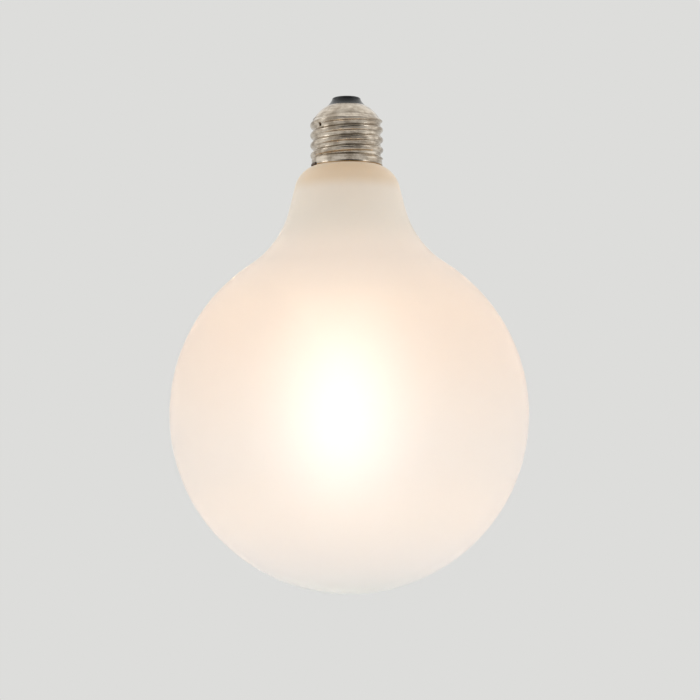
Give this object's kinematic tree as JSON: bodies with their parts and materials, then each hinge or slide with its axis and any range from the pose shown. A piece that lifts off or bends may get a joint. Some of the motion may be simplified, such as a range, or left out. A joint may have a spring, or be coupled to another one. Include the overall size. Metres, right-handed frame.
{
  "type": "globe bulb",
  "caption": "Large frosted globe bulb with a short tapering neck and a rolled screw cap, lit with a warm white glow.",
  "frame": {"origin": "middle of the centre contact's face, at the top of the cap", "axes": "+Z along the bulb's axis, out of the cap and away from the globe; +X to the right of the picture, +Y away from its camera"},
  "size_m": [0.127, 0.127, 0.1769],
  "materials": {
    "frosted_glass": "frosted",
    "cement": "matt",
    "cap_metal": "bright nickel, lightly smudged",
    "insulator": "black glass or moulding, half gloss",
    "contact_metal": "dull",
    "solder": "dull, darkened by flux"
  },
  "bodies": {
    "root": {"glass_envelope": "frosted_glass", "basing_cement": "cement", "screw_shell": "cap_metal", "insulator": "insulator", "centre_contact": "contact_metal", "rim_solder": "solder"}
  },
  "joints": []
}
